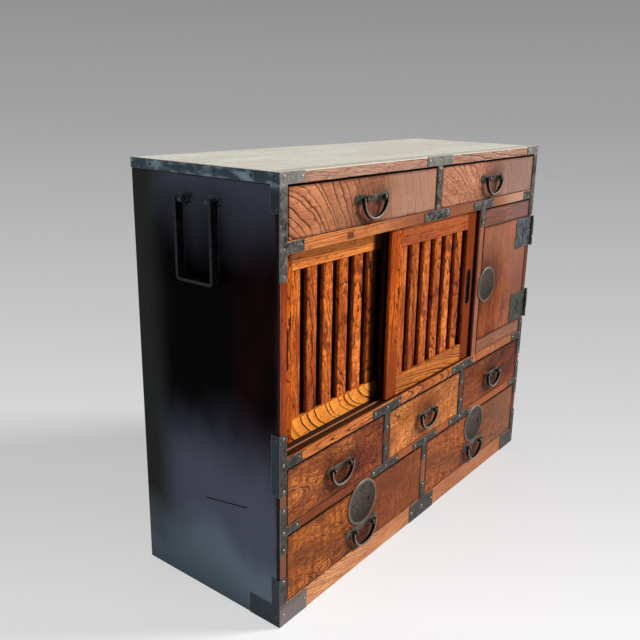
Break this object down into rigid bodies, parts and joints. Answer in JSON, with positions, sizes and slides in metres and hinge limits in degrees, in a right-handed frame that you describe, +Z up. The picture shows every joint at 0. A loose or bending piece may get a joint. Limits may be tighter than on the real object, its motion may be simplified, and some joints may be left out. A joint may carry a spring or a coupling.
{
  "type": "tansu chest",
  "caption": "Low wooden merchant's chest with iron straps, drawers with bail handles and round locks, latticed sliding doors, a hinged door and side carrying loops.",
  "frame": {"origin": "middle of the case's flat underside, on the floor", "axes": "+X to the right as seen from the front, +Y to the back, +Z up; the drawers open to -Y"},
  "size_m": [1.124, 0.406, 0.9],
  "materials": {
    "keyaki_front": "red-brown wiped lacquer over strong grain",
    "black_lacquer": "worn black lacquer",
    "bleached_top": "dry bleached wood",
    "inner_cedar": "bare planed softwood",
    "black_iron": "forged iron, dark and slightly polished by wear"
  },
  "bodies": {
    "case": {"left_side_panel": "black_lacquer", "right_side_panel": "black_lacquer", "front_stiles": "keyaki_front", "top_panel": "bleached_top", "bottom_panel": "inner_cedar", "back_boards": "inner_cedar", "shelf_boards": "inner_cedar", "bottom_runners": "inner_cedar", "centre_partitions": "keyaki_front", "middle_partitions": "keyaki_front", "door_partition": "keyaki_front", "top_rail": "keyaki_front", "upper_rail": "keyaki_front", "sill_rail": "keyaki_front", "lower_rail": "keyaki_front", "base_rail": "keyaki_front", "iron_brackets": "black_iron", "bracket_nails": "black_iron", "hinge_case_leaves": "black_iron", "carrying_loop_mounts": "black_iron"},
    "top_left_drawer": {"top_left_drawer_front": "keyaki_front", "top_left_drawer_box": "inner_cedar", "top_left_handle_mount": "black_iron"},
    "top_left_handle": {"top_left_bail": "black_iron"},
    "top_right_drawer": {"top_right_drawer_front": "keyaki_front", "top_right_drawer_box": "inner_cedar", "top_right_handle_mount": "black_iron"},
    "top_right_handle": {"top_right_bail": "black_iron"},
    "small_left_drawer": {"small_left_drawer_front": "keyaki_front", "small_left_drawer_box": "inner_cedar", "small_left_handle_mount": "black_iron"},
    "small_left_handle": {"small_left_bail": "black_iron"},
    "small_middle_drawer": {"small_middle_drawer_front": "keyaki_front", "small_middle_drawer_box": "inner_cedar", "small_middle_handle_mount": "black_iron"},
    "small_middle_handle": {"small_middle_bail": "black_iron"},
    "small_right_drawer": {"small_right_drawer_front": "keyaki_front", "small_right_drawer_box": "inner_cedar", "small_right_handle_mount": "black_iron"},
    "small_right_handle": {"small_right_bail": "black_iron"},
    "bottom_left_drawer": {"bottom_left_drawer_front": "keyaki_front", "bottom_left_drawer_box": "inner_cedar", "bottom_left_lock_and_mount": "black_iron"},
    "bottom_left_handle": {"bottom_left_bail": "black_iron"},
    "bottom_left_bolt": {"bottom_left_lock_bolt": "black_iron"},
    "bottom_right_drawer": {"bottom_right_drawer_front": "keyaki_front", "bottom_right_drawer_box": "inner_cedar", "bottom_right_lock_and_mount": "black_iron"},
    "bottom_right_handle": {"bottom_right_bail": "black_iron"},
    "bottom_right_bolt": {"bottom_right_lock_bolt": "black_iron"},
    "left_lattice_door": {"left_sliding_door": "keyaki_front", "left_door_pull": "black_iron"},
    "right_lattice_door": {"right_sliding_door": "keyaki_front", "right_door_pull": "black_iron"},
    "swing_door": {"hinged_door": "keyaki_front", "hinge_door_leaves": "black_iron", "door_lock": "black_iron"},
    "swing_door_bolt": {"door_lock_bolt": "black_iron"},
    "left_carrying_handle": {"left_carrying_loop": "black_iron"},
    "right_carrying_handle": {"right_carrying_loop": "black_iron"}
  },
  "joints": [
    {"name": "top_left_drawer_slide", "type": "slide", "parent": "case", "child": "top_left_drawer", "axis": [0, -1, 0], "range_m": [0, 0.28]},
    {"name": "top_left_handle_swing", "type": "hinge", "parent": "top_left_drawer", "child": "top_left_handle", "pos_m": [-0.2655, -0.205, 0.832], "axis": [-1, 0, 0], "range_deg": [0, 100]},
    {"name": "top_right_drawer_slide", "type": "slide", "parent": "case", "child": "top_right_drawer", "axis": [0, -1, 0], "range_m": [0, 0.28]},
    {"name": "top_right_handle_swing", "type": "hinge", "parent": "top_right_drawer", "child": "top_right_handle", "pos_m": [0.2655, -0.205, 0.832], "axis": [-1, 0, 0], "range_deg": [0, 100]},
    {"name": "small_left_drawer_slide", "type": "slide", "parent": "case", "child": "small_left_drawer", "axis": [0, -1, 0], "range_m": [0, 0.28]},
    {"name": "small_left_handle_swing", "type": "hinge", "parent": "small_left_drawer", "child": "small_left_handle", "pos_m": [-0.354, -0.205, 0.282], "axis": [-1, 0, 0], "range_deg": [0, 100]},
    {"name": "small_middle_drawer_slide", "type": "slide", "parent": "case", "child": "small_middle_drawer", "axis": [0, -1, 0], "range_m": [0, 0.28]},
    {"name": "small_middle_handle_swing", "type": "hinge", "parent": "small_middle_drawer", "child": "small_middle_handle", "pos_m": [0, -0.205, 0.282], "axis": [-1, 0, 0], "range_deg": [0, 100]},
    {"name": "small_right_drawer_slide", "type": "slide", "parent": "case", "child": "small_right_drawer", "axis": [0, -1, 0], "range_m": [0, 0.28]},
    {"name": "small_right_handle_swing", "type": "hinge", "parent": "small_right_drawer", "child": "small_right_handle", "pos_m": [0.354, -0.205, 0.282], "axis": [-1, 0, 0], "range_deg": [0, 100]},
    {"name": "bottom_left_drawer_slide", "type": "slide", "parent": "case", "child": "bottom_left_drawer", "axis": [0, -1, 0], "range_m": [0, 0.28]},
    {"name": "bottom_left_handle_swing", "type": "hinge", "parent": "bottom_left_drawer", "child": "bottom_left_handle", "pos_m": [-0.2655, -0.205, 0.097], "axis": [-1, 0, 0], "range_deg": [0, 100]},
    {"name": "bottom_left_bolt_slide", "type": "slide", "parent": "bottom_left_drawer", "child": "bottom_left_bolt", "axis": [0, 0, 1], "range_m": [0, 0.008]},
    {"name": "bottom_right_drawer_slide", "type": "slide", "parent": "case", "child": "bottom_right_drawer", "axis": [0, -1, 0], "range_m": [0, 0.28]},
    {"name": "bottom_right_handle_swing", "type": "hinge", "parent": "bottom_right_drawer", "child": "bottom_right_handle", "pos_m": [0.2655, -0.205, 0.097], "axis": [-1, 0, 0], "range_deg": [0, 100]},
    {"name": "bottom_right_bolt_slide", "type": "slide", "parent": "bottom_right_drawer", "child": "bottom_right_bolt", "axis": [0, 0, 1], "range_m": [0, 0.008]},
    {"name": "left_door_slide", "type": "slide", "parent": "case", "child": "left_lattice_door", "axis": [1, 0, 0], "range_m": [-0.0147, 0.342]},
    {"name": "right_door_slide", "type": "slide", "parent": "case", "child": "right_lattice_door", "axis": [-1, 0, 0], "range_m": [-0.0087, 0.348]},
    {"name": "swing_door_hinge", "type": "hinge", "parent": "case", "child": "swing_door", "pos_m": [0.5435, -0.1985, 0.555], "axis": [0, 0, 1], "range_deg": [0, 175]},
    {"name": "swing_door_bolt_slide", "type": "slide", "parent": "swing_door", "child": "swing_door_bolt", "axis": [-1, 0, 0], "range_m": [0, 0.008]},
    {"name": "left_carrying_handle_swing", "type": "hinge", "parent": "case", "child": "left_carrying_handle", "pos_m": [-0.553, 0, 0.835], "axis": [0, 1, 0], "range_deg": [0, 175]},
    {"name": "right_carrying_handle_swing", "type": "hinge", "parent": "case", "child": "right_carrying_handle", "pos_m": [0.553, 0, 0.835], "axis": [0, -1, 0], "range_deg": [0, 175]}
  ]
}
